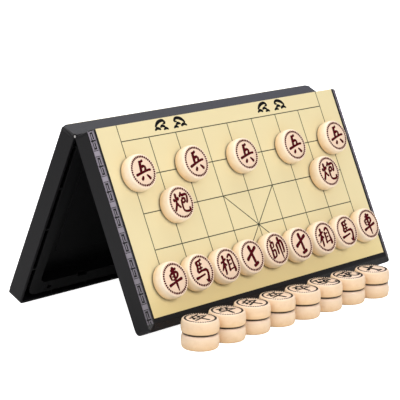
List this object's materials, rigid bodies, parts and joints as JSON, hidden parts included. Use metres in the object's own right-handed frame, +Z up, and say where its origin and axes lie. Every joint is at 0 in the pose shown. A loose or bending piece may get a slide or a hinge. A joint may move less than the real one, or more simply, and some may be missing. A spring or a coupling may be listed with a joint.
{
  "type": "folding magnetic xiangqi box",
  "caption": "Folding black plastic chess box standing as a tent, with a printed board, magnetic draughts on its face and the other side's draughts stacked in front.",
  "frame": {"origin": "centre of the bounding box's footprint, on the ground that the tent and the stacks stand on", "axes": "+X along the hinge, to the right as seen from the front board; +Y from the front board to the rear half; +Z up"},
  "size_m": [0.3124, 0.2226, 0.1572],
  "materials": {
    "case_plastic": "black ABS, satin gloss, meander relief on the board's border",
    "liner_plastic": "black moulded liner, gloss",
    "board_sheet": "pale yellow printed film, satin",
    "steel": "plain steel",
    "magnet": "nickel-plated magnet",
    "red_draught": "pale turned wood, clear satin lacquer, rank and ring in dark red",
    "black_draught": "pale turned wood, clear satin lacquer, rank and ring in black"
  },
  "bodies": {
    "front_half": {"front_shell": "case_plastic", "front_liner": "liner_plastic", "front_steel_plate": "steel", "front_board_sheet": "board_sheet", "front_closing_magnets": "magnet", "front_liner_screws": "steel", "hinge_rod": "steel"},
    "rear_half": {"rear_shell": "case_plastic", "rear_liner": "liner_plastic", "rear_steel_plate": "steel", "rear_board_sheet": "board_sheet", "rear_closing_magnets": "magnet", "rear_liner_screws": "steel"},
    "red_chariot_left": {"red_chariot_left": "red_draught"},
    "red_horse_left": {"red_horse_left": "red_draught"},
    "red_elephant_left": {"red_elephant_left": "red_draught"},
    "red_advisor_left": {"red_advisor_left": "red_draught"},
    "red_general": {"red_general": "red_draught"},
    "red_advisor_right": {"red_advisor_right": "red_draught"},
    "red_elephant_right": {"red_elephant_right": "red_draught"},
    "red_horse_right": {"red_horse_right": "red_draught"},
    "red_chariot_right": {"red_chariot_right": "red_draught"},
    "red_cannon_left": {"red_cannon_left": "red_draught"},
    "red_cannon_right": {"red_cannon_right": "red_draught"},
    "red_soldier_1": {"red_soldier_1": "red_draught"},
    "red_soldier_2": {"red_soldier_2": "red_draught"},
    "red_soldier_3": {"red_soldier_3": "red_draught"},
    "red_soldier_4": {"red_soldier_4": "red_draught"},
    "red_soldier_5": {"red_soldier_5": "red_draught"},
    "black_chariot_left": {"black_chariot_left": "black_draught"},
    "black_soldier_1": {"black_soldier_1": "black_draught"},
    "black_horse_left": {"black_horse_left": "black_draught"},
    "black_soldier_2": {"black_soldier_2": "black_draught"},
    "black_elephant_left": {"black_elephant_left": "black_draught"},
    "black_soldier_3": {"black_soldier_3": "black_draught"},
    "black_advisor_left": {"black_advisor_left": "black_draught"},
    "black_soldier_4": {"black_soldier_4": "black_draught"},
    "black_general": {"black_general": "black_draught"},
    "black_soldier_5": {"black_soldier_5": "black_draught"},
    "black_elephant_right": {"black_elephant_right": "black_draught"},
    "black_cannon_left": {"black_cannon_left": "black_draught"},
    "black_horse_right": {"black_horse_right": "black_draught"},
    "black_cannon_right": {"black_cannon_right": "black_draught"},
    "black_chariot_right": {"black_chariot_right": "black_draught"},
    "black_advisor_right": {"black_advisor_right": "black_draught"}
  },
  "joints": [
    {"name": "case_hinge", "type": "hinge", "parent": "front_half", "child": "rear_half", "pos_m": [0, 0.02899, 0.15008], "axis": [1, 0, 0], "range_deg": [-49, 131]},
    {"name": "lift_red_chariot_left", "type": "slide", "parent": "front_half", "child": "red_chariot_left", "axis": [0, -0.91, 0.4147], "range_m": [0, 0.015]},
    {"name": "lift_red_horse_left", "type": "slide", "parent": "front_half", "child": "red_horse_left", "axis": [0, -0.91, 0.4147], "range_m": [0, 0.015]},
    {"name": "lift_red_elephant_left", "type": "slide", "parent": "front_half", "child": "red_elephant_left", "axis": [0, -0.91, 0.4147], "range_m": [0, 0.015]},
    {"name": "lift_red_advisor_left", "type": "slide", "parent": "front_half", "child": "red_advisor_left", "axis": [0, -0.91, 0.4147], "range_m": [0, 0.015]},
    {"name": "lift_red_general", "type": "slide", "parent": "front_half", "child": "red_general", "axis": [0, -0.91, 0.4147], "range_m": [0, 0.015]},
    {"name": "lift_red_advisor_right", "type": "slide", "parent": "front_half", "child": "red_advisor_right", "axis": [0, -0.91, 0.4147], "range_m": [0, 0.015]},
    {"name": "lift_red_elephant_right", "type": "slide", "parent": "front_half", "child": "red_elephant_right", "axis": [0, -0.91, 0.4147], "range_m": [0, 0.015]},
    {"name": "lift_red_horse_right", "type": "slide", "parent": "front_half", "child": "red_horse_right", "axis": [0, -0.91, 0.4147], "range_m": [0, 0.015]},
    {"name": "lift_red_chariot_right", "type": "slide", "parent": "front_half", "child": "red_chariot_right", "axis": [0, -0.91, 0.4147], "range_m": [0, 0.015]},
    {"name": "lift_red_cannon_left", "type": "slide", "parent": "front_half", "child": "red_cannon_left", "axis": [0, -0.91, 0.4147], "range_m": [0, 0.015]},
    {"name": "lift_red_cannon_right", "type": "slide", "parent": "front_half", "child": "red_cannon_right", "axis": [0, -0.91, 0.4147], "range_m": [0, 0.015]},
    {"name": "lift_red_soldier_1", "type": "slide", "parent": "front_half", "child": "red_soldier_1", "axis": [0, -0.91, 0.4147], "range_m": [0, 0.015]},
    {"name": "lift_red_soldier_2", "type": "slide", "parent": "front_half", "child": "red_soldier_2", "axis": [0, -0.91, 0.4147], "range_m": [0, 0.015]},
    {"name": "lift_red_soldier_3", "type": "slide", "parent": "front_half", "child": "red_soldier_3", "axis": [0, -0.91, 0.4147], "range_m": [0, 0.015]},
    {"name": "lift_red_soldier_4", "type": "slide", "parent": "front_half", "child": "red_soldier_4", "axis": [0, -0.91, 0.4147], "range_m": [0, 0.015]},
    {"name": "lift_red_soldier_5", "type": "slide", "parent": "front_half", "child": "red_soldier_5", "axis": [0, -0.91, 0.4147], "range_m": [0, 0.015]},
    {"name": "lift_black_chariot_left", "type": "slide", "parent": "front_half", "child": "black_chariot_left", "axis": [0, 0, 1], "range_m": [0, 0.015]},
    {"name": "lift_black_soldier_1", "type": "slide", "parent": "black_chariot_left", "child": "black_soldier_1", "axis": [0, 0, 1], "range_m": [0, 0.02]},
    {"name": "lift_black_horse_left", "type": "slide", "parent": "front_half", "child": "black_horse_left", "axis": [0, 0, 1], "range_m": [0, 0.015]},
    {"name": "lift_black_soldier_2", "type": "slide", "parent": "black_horse_left", "child": "black_soldier_2", "axis": [0, 0, 1], "range_m": [0, 0.02]},
    {"name": "lift_black_elephant_left", "type": "slide", "parent": "front_half", "child": "black_elephant_left", "axis": [0, 0, 1], "range_m": [0, 0.015]},
    {"name": "lift_black_soldier_3", "type": "slide", "parent": "black_elephant_left", "child": "black_soldier_3", "axis": [0, 0, 1], "range_m": [0, 0.02]},
    {"name": "lift_black_advisor_left", "type": "slide", "parent": "front_half", "child": "black_advisor_left", "axis": [0, 0, 1], "range_m": [0, 0.015]},
    {"name": "lift_black_soldier_4", "type": "slide", "parent": "black_advisor_left", "child": "black_soldier_4", "axis": [0, 0, 1], "range_m": [0, 0.02]},
    {"name": "lift_black_general", "type": "slide", "parent": "front_half", "child": "black_general", "axis": [0, 0, 1], "range_m": [0, 0.015]},
    {"name": "lift_black_soldier_5", "type": "slide", "parent": "black_general", "child": "black_soldier_5", "axis": [0, 0, 1], "range_m": [0, 0.02]},
    {"name": "lift_black_elephant_right", "type": "slide", "parent": "front_half", "child": "black_elephant_right", "axis": [0, 0, 1], "range_m": [0, 0.015]},
    {"name": "lift_black_cannon_left", "type": "slide", "parent": "black_elephant_right", "child": "black_cannon_left", "axis": [0, 0, 1], "range_m": [0, 0.02]},
    {"name": "lift_black_horse_right", "type": "slide", "parent": "front_half", "child": "black_horse_right", "axis": [0, 0, 1], "range_m": [0, 0.015]},
    {"name": "lift_black_cannon_right", "type": "slide", "parent": "black_horse_right", "child": "black_cannon_right", "axis": [0, 0, 1], "range_m": [0, 0.02]},
    {"name": "lift_black_chariot_right", "type": "slide", "parent": "front_half", "child": "black_chariot_right", "axis": [0, 0, 1], "range_m": [0, 0.015]},
    {"name": "lift_black_advisor_right", "type": "slide", "parent": "black_chariot_right", "child": "black_advisor_right", "axis": [0, 0, 1], "range_m": [0, 0.02]}
  ]
}
